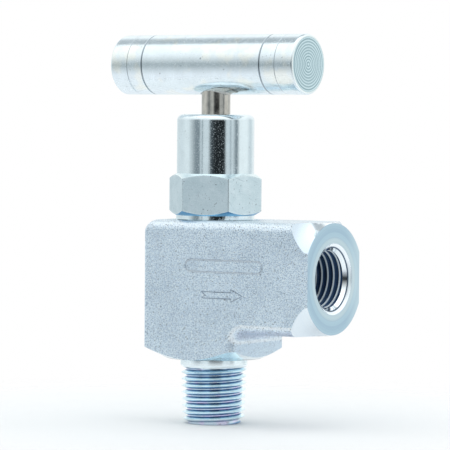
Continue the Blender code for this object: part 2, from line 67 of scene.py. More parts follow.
# The body.
BODY_BOTTOM = 13.9 * MM
BOSS_HALF_HEIGHT = 11.7 * MM
OUTLET_HEIGHT = BODY_TOP - BOSS_HALF_HEIGHT
OUTLET_FACE_RADIUS = 11.6 * MM
OUTLET_RELIEF = 5.4 * MM
BOTTOM_FACE_RADIUS = 10.2 * MM
BOTTOM_CONE_SLOPE = 2.0
FORGED_CORNER = 2.8 * MM
FORGED_EDGE = 2.2 * MM
COLUMN_EDGE = 0.8 * MM
TURNED_EDGE = 0.09 * MM
FORGED_FILLET = 2.4 * MM
PIPE_PITCH = 25.4 / 18 * MM
PIPE_TAPER = 1 / 32
PIPE_DEPTH = 1.1 * MM
INLET_THREAD_LENGTH = 11.85 * MM
INLET_CREST = 6.56 * MM
INLET_CLOCKING = math.radians(160)
INLET_BORE = 2.5 * MM
COLLAR_RADIUS = 7.1 * MM
SEAT_ORIFICE = 1.3 * MM
SEAT_HEIGHT = 27.7 * MM
CHAMBER_FLOOR = 28.2 * MM
CHAMBER_RADIUS = 4.9 * MM
GASKET_SHELF = 34.2 * MM
CROSS_HOLE = 2.4 * MM
OUTLET_COUNTERSINK = 7.42 * MM
OUTLET_STEP = 6.7 * MM
OUTLET_STEP_DEPTH = 0.58 * MM
OUTLET_MOUTH_DEPTH = 1.45 * MM
OUTLET_CREST = 7.1 * MM
OUTLET_THREAD_DEPTH = 12.6 * MM
OUTLET_DRILL_DEPTH = 15.0 * MM
SPOT_FACE_RADIUS = 9.1 * MM
SPOT_FACE = BODY_TOP - 0.1 * MM
MARK_RADIUS = 0.24 * MM
MARK_DEPTH = 0.15 * MM

# The bonnet.
BONNET_PITCH = 1.5 * MM
BONNET_CREST = 7.0 * MM
BONNET_ROOT = 6.1 * MM
NOSE_END = 35.25 * MM
WASHER_FACE_RADIUS = 8.3 * MM
HEX_LOW = 44.05 * MM
HEX_HIGH = 52.9 * MM
HEX_FLATS = 17.46 * MM
HEX_CLOCKING = math.radians(19.1)
HOUSING_RADIUS = 8.2 * MM
HOUSING_EDGE = 1.3 * MM
SEAL_BORE = 4.5 * MM
SEAL_BORE_TOP = 46.0 * MM
BACK_SEAT_TOP = 57.1 * MM
WIPER_LOW = 62.5 * MM
WIPER_HIGH = 64.0 * MM
WIPER_GROOVE = 4.4 * MM

# The spindle.
STEM_PITCH = 1.25 * MM
STEM_CREST = 4.0 * MM
STEM_ROOT = 3.28 * MM
THREAD_CLEARANCE = 0.12 * MM
ROD_RADIUS = 3.05 * MM
TOP_HOLE = ROD_RADIUS + 0.12 * MM
SHOULDER_RADIUS = 3.33 * MM
LIFT_TO_BACK_SEAT = 1.3 * MM
LAND_RADIUS = 4.35 * MM
GROOVE_RADIUS = 3.2 * MM
GROOVE_LOW = 38.0 * MM
GROOVE_HIGH = 42.3 * MM
TIP_RADIUS = 2.75 * MM
BALL_RADIUS = 2.0 * MM
BALL_HEIGHT = 31.8 * MM
HANDLE_HALF_LENGTH = 23.33 * MM
HANDLE_CLOCKING = math.radians(-2.0)
HANDLE_EDGE = 0.5 * MM
END_RING_PITCH = 0.6 * MM
END_RING_DEPTH = 0.028 * MM
END_RINGS = 9
SCREW_PITCH = 0.7 * MM
SCREW_CREST = 2.0 * MM
SCREW_ROOT = 1.6 * MM
KEY_FLATS = 2.0 * MM
KEY_DEPTH = 1.3 * MM

# How many sides round pieces have.
FINE = 192
MEDIUM = 144
COARSE = 96

# How far a cutting shape runs past the surface it cuts.
OVERSHOOT = 1.0 * MM

# Turned shapes that share a flat face are twisted by this, so that their corners never line up.
TWIST = Matrix.Rotation(math.radians(0.4), 4, "Z")

# The camera: its bearing round the valve, its height above the horizon, its tilt, how far off it stands,
# the width it sees there, and the point it looks at, right of the stem's axis and above the inlet's end.
CAMERA_AZIMUTH = math.radians(33.0)
CAMERA_ELEVATION = math.radians(2.0)
CAMERA_ROLL = math.radians(0.45)
CAMERA_DISTANCE = 0.65
FIELD = 95.3 * MM
AIM_RIGHT = 2.1 * MM
AIM_HEIGHT = 42.0 * MM


# ---------------- shapes

# One pitch of a vee thread with flat roots and eased crests: (share of the pitch, share of the height).
THREAD_FORM = ((0.05, 0.0), (0.40, 0.90), (0.45, 1.0), (0.55, 1.0), (0.60, 0.90), (0.95, 0.0))

THREAD_FIELDS = "low high pitch crest root taper low_chamfer high_chamfer"


class Thread(namedtuple("Thread", THREAD_FIELDS, defaults=(0.0, True, True))):
    """A right-hand thread from low to high along an outline. Its crests lie half a pitch above each whole
    pitch of height at angle 0, so a screw and its nut are in mesh. Taper is radius per height."""

    def limited(self, radius, height):
        """The radius, less the chamfers that run the thread out at its ends."""
        root = self.root + self.taper * (height - self.low)
        if self.low_chamfer:
            radius = min(radius, root + (height - self.low))
        if self.high_chamfer:
            radius = min(radius, root + (self.high - height))
        return radius

    def radius_at(self, share, height):
        radius = self.root + (self.crest - self.root) * share + self.taper * (height - self.low)
        return self.limited(radius, height)

    def end_point(self, angle, height):
        """The radius of the thread where a flat face cuts it."""
        phase = (height / self.pitch - angle / (2 * math.pi)) % 1
        before, after = (THREAD_FORM[-1][0] - 1, 0.0), THREAD_FORM[0]
        for form in THREAD_FORM:
            if form[0] > phase:
                after = form
                break
            before = form
            after = (THREAD_FORM[0][0] + 1, 0.0)
        blend = (phase - before[0]) / (after[0] - before[0])
        return self.radius_at(before[1] + (after[1] - before[1]) * blend, height)

    def points(self, angle):
        """(row, radius, height) from low to high at one angle."""
        start = angle / (2 * math.pi)
        margin = 0.02 * self.pitch
        found = [(-math.inf, self.end_point(angle, self.low), self.low)]
        first = math.floor(self.low / self.pitch - start)
        last = math.ceil(self.high / self.pitch - start)
        for turn in range(first, last + 1):
            for k, (phase, share) in enumerate(THREAD_FORM):
                height = (start + turn + phase) * self.pitch
                if self.low + margin < height < self.high - margin:
                    row = turn * len(THREAD_FORM) + k
                    found.append((row, self.radius_at(share, height), height))
        found.append((math.inf, self.end_point(angle, self.high), self.high))
        return found


def stitch(bm, left, right):
    """Faces between two columns of labelled vertices, whose first and last labels agree."""
    i = j = 0
    while i < len(left) - 1 or j < len(right) - 1:
        next_left = left[i + 1][0] if i < len(left) - 1 else (math.inf, 0)
        next_right = right[j + 1][0] if j < len(right) - 1 else (math.inf, 0)
        corners = [left[i][1], right[j][1]]
        if next_right <= next_left:
            j += 1
            corners.append(right[j][1])
        if next_left <= next_right:
            i += 1
            corners.append(left[i][1])
        unique = list(dict.fromkeys(corners))
        if len(unique) > 2:
            bm.faces.new(unique)


def one_turn_on(outline, label):
    """The label of a vertex at angle 0, as the column one full turn later names it."""
    n, row = label
    if n < len(outline) and isinstance(outline[n], Thread):
        return n, row - len(THREAD_FORM)
    return label


def turned(outline, segments, ring=False):
    """A bmesh turned about Z. The outline's items are (radius, height) points and Threads. It starts and
    ends on the axis, or is the closed section of a ring."""
    bm = bmesh.new()
    poles = {}
    columns = []
    for i in range(segments):
        angle = 2 * math.pi * i / segments
        column = []
        for n, item in enumerate(outline):
            rows = item.points(angle) if isinstance(item, Thread) else [(0, *item)]
            for row, radius, height in rows:
                if radius == 0:
                    vertex = poles.get(n) or bm.verts.new((0, 0, height))
                    poles[n] = vertex
                else:
                    place = (radius * math.cos(angle), radius * math.sin(angle), height)
                    vertex = bm.verts.new(place)
                column.append(((n, row), vertex))
        if ring:
            column.append(((len(outline), 0), column[0][1]))
        columns.append(column)
    for i, left in enumerate(columns):
        right = columns[(i + 1) % segments]
        if i == segments - 1:
            right = [(one_turn_on(outline, label), vertex) for label, vertex in right]
        stitch(bm, left, right)
    bmesh.ops.recalc_face_normals(bm, faces=bm.faces)
    return bm


def prism(points, low, high):
    """A bmesh of the flat outline, extruded from low to high along Z."""
    bm = bmesh.new()
    face = bm.faces.new([bm.verts.new((x, y, low)) for x, y in points])
    made = bmesh.ops.extrude_face_region(bm, geom=[face])["geom"]
    lifted = [item for item in made if isinstance(item, bmesh.types.BMVert)]
    bmesh.ops.translate(bm, verts=lifted, vec=(0, 0, high - low))
    bmesh.ops.recalc_face_normals(bm, faces=bm.faces)
    return bm


def corner_radius(flats):
    """From the centre of a hexagon across these flats to its corners."""
    return flats / 2 / math.cos(math.pi / 6)


def hexagon(flats, clocking=0.0):
    """The six corners of a hexagon across these flats, with its first corner at the clocking angle."""
    radius = corner_radius(flats)
    angles = [clocking + math.pi / 3 * k for k in range(6)]
    return [(radius * math.cos(angle), radius * math.sin(angle)) for angle in angles]


def arc(centre, radius, start, end, steps):
    """Points on an arc, from one angle to the other in degrees."""
    angles = [math.radians(start + (end - start) * k / steps) for k in range(steps + 1)]
    return [(centre[0] + radius * math.cos(a), centre[1] + radius * math.sin(a)) for a in angles]


def along_x(height=0.0):
    """Turns a shape made along Z to lie along +X at this height."""
    return Matrix.Translation((0, 0, height)) @ Matrix.Rotation(math.pi / 2, 4, "Y")


def mesh_object(name, bm, finish, matrix=None):
    mesh = bpy.data.meshes.new(name)
    if matrix is not None:
        bm.transform(matrix)
    bm.to_mesh(mesh)
    bm.free()
    mesh.materials.append(finish)
    obj = bpy.data.objects.new(name, mesh)
    bpy.context.scene.collection.objects.link(obj)
    return obj


def bake_modifiers(obj):
    """Makes the object's modifiers part of its mesh."""
    graph = bpy.context.evaluated_depsgraph_get()
    mesh = bpy.data.meshes.new_from_object(obj.evaluated_get(graph))
    obj.modifiers.clear()
    obj.data = mesh


def shape(obj, operation, bm, finish, matrix=None):
    """Joins, cuts or trims obj. The new surface takes the finish given here."""
    helper = mesh_object("helper", bm, finish, matrix)
    boolean = obj.modifiers.new("shape", "BOOLEAN")
    boolean.operation = operation
    boolean.solver = "EXACT"
    boolean.material_mode = "TRANSFER"
    boolean.object = helper
    bake_modifiers(obj)
    bpy.data.objects.remove(helper)


def ease_edges(obj, width, limit):
    """Rounds the edges that turn by more than the limit. Edges too short to round are closed up first."""
    bm = bmesh.new()
    bm.from_mesh(obj.data)
    bmesh.ops.remove_doubles(bm, verts=bm.verts, dist=width)
    bmesh.ops.dissolve_degenerate(bm, dist=width / 10, edges=bm.edges)
    weight = bm.edges.layers.float.new("bevel_weight_edge")
    for edge in bm.edges:
        first, second = edge.link_faces
        if first.normal.angle(second.normal, 0) > math.radians(limit):
            edge[weight] = 1.0
    bm.to_mesh(obj.data)
    bm.free()
    bevel = obj.modifiers.new("ease_edges", "BEVEL")
    bevel.width = width
    bevel.segments = 2
    bevel.limit_method = "WEIGHT"
    bevel.use_clamp_overlap = False
    bake_modifiers(obj)
    obj.data.attributes.remove(obj.data.attributes["bevel_weight_edge"])


def finish_shading(obj, angle=32):
    """Smooth where faces meet gently, with flat faces kept truly flat."""
    obj.data.shade_smooth()
    obj.data.set_sharp_from_angle(angle=math.radians(angle))
    weighted = obj.modifiers.new("even_normals", "WEIGHTED_NORMAL")
    weighted.keep_sharp = True
    return obj


# ---------------- materials


class Nodes:
    """A short way to write a material's nodes: each call makes one node and returns its first output."""

    def __init__(self, tree):
        self.tree = tree

    def make(self, kind, **settings):
        node = self.tree.nodes.new(kind)
        for key, value in settings.items():
            setattr(node, key, value)
        return node

    def feed(self, node, values):
        for key, value in values.items():
            if isinstance(value, bpy.types.NodeSocket):
                self.tree.links.new(value, node.inputs[key])
            else:
                node.inputs[key].default_value = value
        return node

    def math(self, operation, *values):
        node = self.make("ShaderNodeMath", operation=operation)
        return self.feed(node, dict(enumerate(values))).outputs[0]

    def times(self, value, other):
        return self.math("MULTIPLY", value, other)

    def plus(self, value, other, share):
        """The value, with this share of the other added."""
        return self.math("ADD", value, self.times(other, share))

    def vector(self, operation, *values):
        node = self.make("ShaderNodeVectorMath", operation=operation)
        self.feed(node, dict(enumerate(values)))
        return node.outputs["Value" if operation in ("LENGTH", "DOT_PRODUCT") else "Vector"]

    def scaled(self, vector, x, y, z):
        return self.vector("MULTIPLY", vector, (x, y, z))

    def noise(self, vector, scale, detail=4.0, roughness=0.55):
        node = self.make("ShaderNodeTexNoise")
        self.feed(node, {"Vector": vector, "Scale": scale, "Detail": detail, "Roughness": roughness})
        return node.outputs["Fac"]

    def lines(self, value, scale):
        """Noise along one coordinate: parallel tool marks."""
        node = self.make("ShaderNodeTexNoise", noise_dimensions="1D")
        self.feed(node, {"W": value, "Scale": scale, "Detail": 3.0, "Roughness": 0.7})
        return node.outputs["Fac"]

    def between(self, value, low, high, to_low=0.0, to_high=1.0):
        """The value, taken smoothly from one range to another and held at its ends."""
        node = self.make("ShaderNodeMapRange", interpolation_type="SMOOTHSTEP")
        self.feed(node, {0: value, 1: low, 2: high, 3: to_low, 4: to_high})
        return node.outputs[0]

    def ramp(self, value, low, high):
        """0 to 1, in a straight line from one value to the other and held at its ends."""
        node = self.make("ShaderNodeMapRange")
        return self.feed(node, {0: value, 1: low, 2: high}).outputs[0]

    def mix(self, share, first, second):
        node = self.make("ShaderNodeMix", data_type="RGBA")
        colours = [(*c, 1.0) if isinstance(c, tuple) else c for c in (first, second)]
        self.feed(node, {0: share, 6: colours[0], 7: colours[1]})
        return node.outputs[2]

    def tinted(self, colour, mask, share, tint):
        """The colour, taken by this share towards the tint where the mask is 1."""
        return self.mix(self.times(mask, share), colour, tint)

    def bump(self, height, distance):
        node = self.make("ShaderNodeBump")
        return self.feed(node, {"Height": height, "Distance": distance}).outputs[0]

    def upward(self):
        """Which way the surface faces: 1 up, 0 sideways, -1 down."""
        normal = self.make("ShaderNodeNewGeometry").outputs["Normal"]
        return self.vector("DOT_PRODUCT", normal, (0, 0, 1))

    def surface(self, shader, colour, roughness, normal, metallic=1.0):
        values = {"Base Color": colour, "Roughness": roughness, "Normal": normal, "Metallic": metallic}
        self.feed(shader, values)

    def millimetres(self):
        """The surface point in the piece's own space, in millimetres."""
        place = self.make("ShaderNodeTexCoord").outputs["Object"]
        return self.scaled(place, 1000, 1000, 1000)

    def edge(self, radius):
        """1 on edges and corners, falling to 0 on even surface."""
        rounded = self.make("ShaderNodeBevel", samples=4)
        self.feed(rounded, {"Radius": radius})
        true = self.make("ShaderNodeNewGeometry").outputs["Normal"]
        return self.between(self.vector("DOT_PRODUCT", rounded.outputs[0], true), 0.995, 0.90)


def new_material(name):
    made = bpy.data.materials.new(name)
    made.use_nodes = True
    nodes = Nodes(made.node_tree)
    return made, nodes, made.node_tree.nodes["Principled BSDF"]


def scratches(n, place, seed):
    """A few thin straight scratches: 1 in the scratch, 0 elsewhere."""
    found = None
    for k, turn in enumerate((0.5, 1.9, 2.7)):
        rotate = n.make("ShaderNodeVectorRotate", rotation_type="EULER_XYZ")
        n.feed(rotate, {"Vector": place, "Rotation": (turn, turn * 0.7, turn + seed)})
        stretched = n.scaled(rotate.outputs[0], 0.16, 5.0, 0.45)
        line = n.between(n.noise(stretched, 1.3 + 0.2 * k, 1.0), 0.72, 0.77)
        found = line if found is None else n.math("MAXIMUM", found, line)
    return found


def forged_zinc(name="zinc_plated_forging", shade=1.0):
    """Blasted and zinc-plated forging: a fine grain of dark pits and bright facets, with burrs along its
    edges.
    It is painted lighter where it faces up, a painted highlight, with a painted bright ridge where it
    starts to face down and violet painted shade where it faces further down. The shade argument darkens it
    all over."""
    made, n, shader = new_material(name)
    place = n.millimetres()
    grain = n.noise(place, 5.2, 1.0, 0.5)
    specks = n.noise(n.scaled(place, 1.0, 1.07, 0.93), 3.3, 1.0)
    lumps = n.noise(place, 1.1, 3.0)
    clouds = n.noise(place, 0.16, 3.0)
    upward = n.upward()
    rounded = n.math("SUBTRACT", 1.0, n.between(n.math("ABSOLUTE", upward), 0.10, 0.02))
    # Masks for painted light: a painted highlight along the ridge where the surface starts to face down,
    # and painted violet shade where it faces further down.
    painted_ridge_highlight = n.times(n.between(upward, -0.02, -0.16), n.between(upward, -0.50, -0.24))
    painted_underside_shade = n.between(upward, -0.35, -0.75)
    pits = n.between(n.plus(specks, rounded, -0.03), 0.335, 0.285)
    base = n.mix(n.between(clouds, 0.35, 0.65), (0.67, 0.79, 0.91), (0.73, 0.85, 0.96))
    tone = n.mix(n.between(grain, 0.37, 0.50, 0.74, 0.0), base, (0.32, 0.40, 0.50))
    tone = n.mix(n.between(grain, 0.50, 0.63, 0.0, 0.74), tone, (0.95, 1.0, 1.0))
    # Painted highlight where the surface faces up, then the painted ridge highlight and the painted
    # underside shade.
    tone = n.mix(n.between(upward, 0.12, 0.75, 0.0, 0.40), tone, (0.97, 1.0, 1.0))
    tone = n.tinted(tone, painted_ridge_highlight, 0.45, (0.99, 1.0, 1.0))
    tone = n.tinted(tone, painted_underside_shade, 0.42, (0.46, 0.48, 0.62))
    tone = n.tinted(tone, pits, 0.7, (0.13, 0.14, 0.16))
    # Painted shade: the whole surface darkened by the shade argument, which the stamped grooves use for
    # the shade inside them.
    tone = n.mix(1.0 - shade, tone, (0.07, 0.09, 0.13))
    relief = n.plus(n.times(grain, 0.6), lumps, 0.5)
    relief = n.plus(relief, pits, -0.35)
    n.surface(shader, tone, n.between(clouds, 0.3, 0.7, 0.42, 0.52), n.bump(relief, 0.09 * MM))
    return made


class Lathe:
    """What the lathe leaves on a turned surface about an axis along X or Z: places on it, in
    millimetres, and its rings."""

    def __init__(self, n, along, centre=(0, 0, 0)):
        self.place = n.vector("SUBTRACT", n.millimetres(), tuple(c / MM for c in centre))
        across = n.scaled(self.place, 0, 1, 1) if along == "X" else n.scaled(self.place, 1, 1, 0)
        self.radius = n.vector("LENGTH", across)
        self.length = n.vector("DOT_PRODUCT", self.place, (1, 0, 0) if along == "X" else (0, 0, 1))
        track = n.math("ADD", self.radius, self.length)
        self.fine = n.lines(track, 7.0)
        self.broad = n.lines(track, 1.1)


def bar_ends(n, lathe, colour):
    """What the handle has besides: golden tints in the plate, ring grooves painted dark, a painted shade,
    and satin end faces with a whorl of tool rings inside a rim painted bright, a painted highlight."""
    end, radius = HANDLE_HALF_LENGTH / MM, HANDLE_RADIUS / MM
    whorl = n.math("SINE", n.times(lathe.radius, 2 * math.pi * MM / END_RING_PITCH))
    swing = n.times(whorl, n.between(n.lines(lathe.radius, 0.9), 0.35, 0.65, 0.24, 0.48))
    satin = n.mix(n.math("ADD", 0.5, swing), (0.28, 0.40, 0.44), (0.78, 0.92, 0.97))
    far = n.math("ABSOLUTE", lathe.length)
    on_face = n.between(far, end - 0.10, end - 0.05)
    blush = n.between(n.noise(lathe.place, 0.22, 2.0), 0.50, 0.66, 0.0, 0.45)
    colour = n.mix(blush, colour, (0.97, 0.94, 0.82))
    # Painted shade inside the ring grooves, away from the end faces.
    painted_groove_shade = n.between(lathe.radius, radius - 0.02, radius - 0.08)
    inboard = n.between(far, end - 0.8, end - 1.0, 0.0, 0.75)
    colour = n.tinted(colour, painted_groove_shade, inboard, (0.16, 0.20, 0.24))
    # Painted highlight: the rounded rim of each end face is painted bright.
    rim = n.between(lathe.radius, radius - 0.66, radius - 0.54)
    return n.mix(on_face, colour, n.mix(rim, satin, (0.92, 0.97, 0.97)))


def turned_zinc(name, along, tone, roughness, mark_depth, scratch_seed, besides=None):
    """Bright turned bar under zinc plate: fine rings, a few scratches and matt specks."""
    made, n, shader = new_material(name)
    lathe = Lathe(n, along)
    place = lathe.place
    clouds = n.noise(place, 0.35, 3.0)
    specks = n.between(n.noise(place, 5.0, 1.0), 0.56, 0.70)
    marks = n.between(n.noise(place, 1.7, 1.0), 0.27, 0.23)
    scratch = scratches(n, place, scratch_seed)
    darker = tuple(0.94 * c for c in tone)
    colour = n.mix(n.between(clouds, 0.35, 0.70), darker, tone)
    colour = n.tinted(colour, marks, 0.6, (0.20, 0.22, 0.25))
    colour = n.tinted(colour, scratch, 0.3, (0.95, 0.97, 1.0))
    if besides:
        colour = besides(n, lathe, colour)
    relief = n.plus(lathe.fine, lathe.broad, 0.8)
    relief = n.plus(relief, scratch, -0.8)
    relief = n.plus(relief, specks, 0.5)
    rough = n.between(clouds, 0.3, 0.7, roughness * 0.9, roughness * 1.1)
    n.surface(shader, colour, n.plus(rough, specks, 0.25), n.bump(relief, mark_depth))
    return made


def outlet_zinc():
    """The outlet: a satin blue face with faint rings, painted lighter towards +Y, a painted highlight; a
    bright relief and countersink, with painted shade on the relief's upward slope and a painted dark line
    at the step; and a thread painted dark below its crests, a painted shade.
    """
    made, n, shader = new_material("zinc_turned_outlet")
    lathe = Lathe(n, "X", (0, 0, OUTLET_HEIGHT))
    radius = lathe.radius
    depth = n.math("SUBTRACT", OUTLET_REACH / MM, lathe.length)
    face = n.between(depth, 0.10, 0.02)
    rings = n.between(lathe.broad, 0.35, 0.65)
    satin = n.mix(rings, (0.45, 0.60, 0.72), (0.52, 0.68, 0.78))
    aside = n.vector("DOT_PRODUCT", lathe.place, (0, 1, 0))
    # Painted highlight: the face painted lighter towards +Y.
    satin = n.mix(n.between(aside, 4.0, 11.0, 0.0, 0.55), satin, (0.74, 0.86, 0.90))
    satin = n.mix(n.between(radius, 9.0, 8.2, 0.0, 0.5), satin, (0.78, 0.86, 0.86))
    bright = n.mix(rings, (0.86, 0.92, 0.97), (0.93, 0.98, 1.0))
    step = n.math("ABSOLUTE", n.math("SUBTRACT", depth, OUTLET_STEP_DEPTH / MM + 0.02))
    bored = n.between(radius, OUTLET_COUNTERSINK / MM + 0.28, OUTLET_COUNTERSINK / MM + 0.18)
    # Painted shade: a dark line painted at the step inside the countersink.
    bright = n.tinted(bright, n.between(step, 0.12, 0.05), bored, (0.10, 0.14, 0.20))
    upward = n.upward()
    # Painted shade: the relief painted darker where it slopes upward, short of facing straight up; the
    # mask named lit marks where this shade goes.
    lit = n.times(n.between(radius, 8.0, 9.0), n.between(upward, 0.0, 0.4, 0.4, 1.0))
    lit = n.times(lit, n.between(upward, 0.85, 0.6))
    bright = n.mix(lit, bright, (0.66, 0.75, 0.83))
    colour = n.mix(face, bright, satin)
    crest = n.plus((OUTLET_CREST - PIPE_DEPTH) / MM, depth, -PIPE_TAPER)
    below_crest = n.between(n.math("SUBTRACT", radius, crest), 0.16, 0.28)
    mouth = OUTLET_MOUTH_DEPTH / MM
    threaded = n.times(n.between(depth, mouth - 0.03, mouth + 0.05), bored)
    # Painted shade: the thread painted dark blue below its crests.
    blue = n.mix(n.between(lathe.fine, 0.40, 0.60), (0.02, 0.05, 0.12), (0.08, 0.17, 0.34))
    inside = n.mix(below_crest, (0.86, 0.95, 1.0), blue)
    colour = n.mix(threaded, colour, inside)
    rough = n.plus(n.plus(0.13, face, 0.17), threaded, 0.2)
    metallic = n.math("SUBTRACT", 1.0, threaded)
    n.surface(shader, colour, rough, n.bump(lathe.broad, 0.002 * MM), metallic)
    return made


def inlet_zinc():
    """The inlet: a bright collar and underside, and a male thread with bright crests and purple-tinted
    roots, whose flanks just above the roots are painted dark blue, a painted shade.
    """
    made, n, shader = new_material("zinc_turned_inlet")
    lathe = Lathe(n, "Z")
    rings = n.between(lathe.fine, 0.35, 0.65)
    bright = n.mix(rings, (0.80, 0.90, 0.97), (0.94, 1.0, 1.0))
    root = n.plus((INLET_CREST - PIPE_DEPTH) / MM, lathe.length, PIPE_TAPER)
    above_root = n.math("SUBTRACT", lathe.radius, root)
    tint = n.between(n.noise(lathe.place, 0.35, 2.0), 0.45, 0.62)
    root_tone = n.mix(tint, (0.64, 0.74, 0.84), (0.72, 0.68, 0.86))
    # Painted shade: the flanks just above the roots painted dark blue.
    inside = n.mix(n.between(above_root, 0.04, 0.20), root_tone, (0.13, 0.27, 0.46))
    inside = n.mix(n.between(above_root, 0.24, 0.54), inside, (0.80, 0.94, 1.0))
    threaded = n.between(lathe.length, INLET_THREAD_LENGTH / MM + 0.1, INLET_THREAD_LENGTH / MM)
    colour = n.mix(threaded, bright, inside)
    rough = n.between(rings, 0.0, 1.0, 0.14, 0.20)
    n.surface(shader, colour, rough, n.bump(lathe.fine, 0.003 * MM))
    return made


def milled_zinc():
    """The bonnet's hexagon: drawn bar, satin, with handling marks; its corners painted bright, a painted
    highlight, with a patchy dark line painted on them, its upper chamfers painted lighter, a painted
    highlight, and its lower chamfers painted blue, a painted shade.
    """
    made, n, shader = new_material("zinc_plated_hexagon")
    place = n.millimetres()
    grain = n.noise(place, 5.0, 3.0)
    clouds = n.noise(place, 0.4, 4.0)
    drawn = n.noise(n.scaled(place, 1.0, 1.0, 0.12), 6.0, 3.0)
    pits = n.between(n.noise(place, 2.2, 1.0), 0.29, 0.25)
    scratch = scratches(n, place, 1.3)
    edge = n.edge(0.5 * MM)
    tone = n.mix(n.between(clouds, 0.35, 0.68), (0.58, 0.69, 0.74), (0.66, 0.76, 0.81))
    tone = n.mix(n.between(grain, 0.50, 0.64, 0.0, 0.35), tone, (0.86, 0.93, 0.97))
    tone = n.tinted(tone, pits, 0.8, (0.12, 0.14, 0.17))
    tone = n.tinted(tone, scratch, 0.6, (0.30, 0.36, 0.42))
    # A patchy dark line painted on the corners, a painted shade.
    line = n.times(n.edge(0.09 * MM), n.between(n.noise(place, 0.7, 2.0), 0.36, 0.46))
    # Painted highlight: the corners painted bright.
    tone = n.tinted(tone, edge, 0.7, (0.95, 1.0, 1.0))
    tone = n.tinted(tone, line, 0.7, (0.16, 0.18, 0.20))
    upward = n.upward()
    # Painted highlight on the chamfers that face up, and painted blue shade on those that face down.
    tone = n.mix(n.between(upward, 0.15, 0.5, 0.0, 0.6), tone, (0.90, 1.0, 1.0))
    tone = n.mix(n.between(upward, -0.15, -0.5, 0.0, 0.9), tone, (0.14, 0.40, 0.64))
    relief = n.plus(n.times(grain, 0.6), drawn, 0.5)
    relief = n.plus(relief, scratch, -0.6)
    n.surface(shader, tone, n.plus(0.30, edge, -0.16), n.bump(relief, 0.012 * MM))
    return made


def ground_stainless():
    """The stem: ground bar, warm grey, with fine rings."""
    made, n, shader = new_material("stainless_steel")
    place = n.millimetres()
    height = n.vector("DOT_PRODUCT", place, (0, 0, 1))
    rings = n.lines(height, 9.0)
    clouds = n.noise(place, 0.6, 4.0)
    tone = n.mix(n.between(clouds, 0.3, 0.7), (0.50, 0.47, 0.43), (0.62, 0.58, 0.53))
    relief = n.math("ADD", rings, n.noise(place, 6.0))
    n.surface(shader, tone, n.between(clouds, 0.3, 0.7, 0.14, 0.24), n.bump(relief, 0.004 * MM))
    return made


def plain_finish(name, colour, roughness, metallic):
    """Small parts: one colour, slightly clouded, with a fine grain."""
    made, n, shader = new_material(name)
    place = n.millimetres()
    darker = tuple(0.75 * c for c in colour)
    tone = n.mix(n.between(n.noise(place, 0.8), 0.3, 0.7), darker, colour)
    rough = n.between(n.noise(place, 1.5), 0.3, 0.7, roughness * 0.8, roughness * 1.2)
    n.surface(shader, tone, rough, n.bump(n.noise(place, 4.0), 0.01 * MM), metallic)
    return made


# ---------------- body


def forging(finish):
    """The raw forging: the side outline extruded across the body, with its long edges rounded. It runs
    past the outlet face and the bottom face, which are turned afterwards."""
    half = BODY_HALF_WIDTH
    left = -BODY_HALF_DEPTH
    allowance = 3 * MM
    past_outlet = OUTLET_REACH + allowance
    past_bottom = BODY_BOTTOM - allowance
    boss_bottom = OUTLET_HEIGHT - BOSS_HALF_HEIGHT
    corner = (left + FORGED_CORNER, BODY_TOP - FORGED_CORNER)
    fillet = (BODY_HALF_DEPTH + FORGED_FILLET, boss_bottom - FORGED_FILLET)
    outline = [
        (past_outlet, BODY_TOP),
        *arc(corner, FORGED_CORNER, 90, 180, 16),
        (left, past_bottom),
        (BODY_HALF_DEPTH, past_bottom),
        *arc(fillet, FORGED_FILLET, 180, 90, 14),
        (past_outlet, boss_bottom),
    ]
    bm = prism(outline, -half, half)
    # The long edges are fully rounded, but slimmer down the column on the side away from the outlet.
    weight = bm.edges.layers.float.new("bevel_weight_edge")
    slim = COLUMN_EDGE / FORGED_EDGE
    for edge in bm.edges:
        first, second = (v.co for v in edge.verts)
        if abs(first.z - second.z) < 1e-6:
            upright = abs(first.y - second.y) / (first - second).length
            edge[weight] = 1 + (slim - 1) * upright if first.x < 0 else 1
    # The outline was drawn in X and Y: Y becomes up, and the extrusion runs across the body.
    bm.transform(Matrix.Rotation(math.pi / 2, 4, "X"))
    body = mesh_object("valve_body_fine", bm, finish)
    rounding = body.modifiers.new("forged_edges", "BEVEL")
    rounding.width = FORGED_EDGE
    rounding.segments = 10
    rounding.limit_method = "WEIGHT"
    bake_modifiers(body)
    return body


def outlet_envelope():
    """Everything that the lathe leaves at the outlet: a flat face, and round it a hollow relief that
    takes the corners off the square boss."""
    far = 40 * MM
    start, end, steps = 10, 78, 14
    centre = (
        OUTLET_FACE_RADIUS + OUTLET_RELIEF * math.cos(math.radians(start)),
        OUTLET_REACH + OUTLET_RELIEF * math.sin(math.radians(start)),
    )
    outline = [
        (0, -far),
        (far, -far),
        (far, OUTLET_REACH - OUTLET_RELIEF),
        *arc(centre, OUTLET_RELIEF, 180 + end, 180 + start, steps),
        (0, OUTLET_REACH),
    ]
    return turned(outline, FINE)


def bottom_cut():
    """What the lathe takes off under the column: below a flat face and the cone around it."""
    low = BODY_BOTTOM - 5 * MM
    edge = 17 * MM
    outline = [
        (0, low),
        (edge, low),
        (edge, BODY_BOTTOM + (edge - BOTTOM_FACE_RADIUS) / BOTTOM_CONE_SLOPE),
        (BOTTOM_FACE_RADIUS, BODY_BOTTOM),
        (0, BODY_BOTTOM),
    ]
    return turned(outline, FINE)


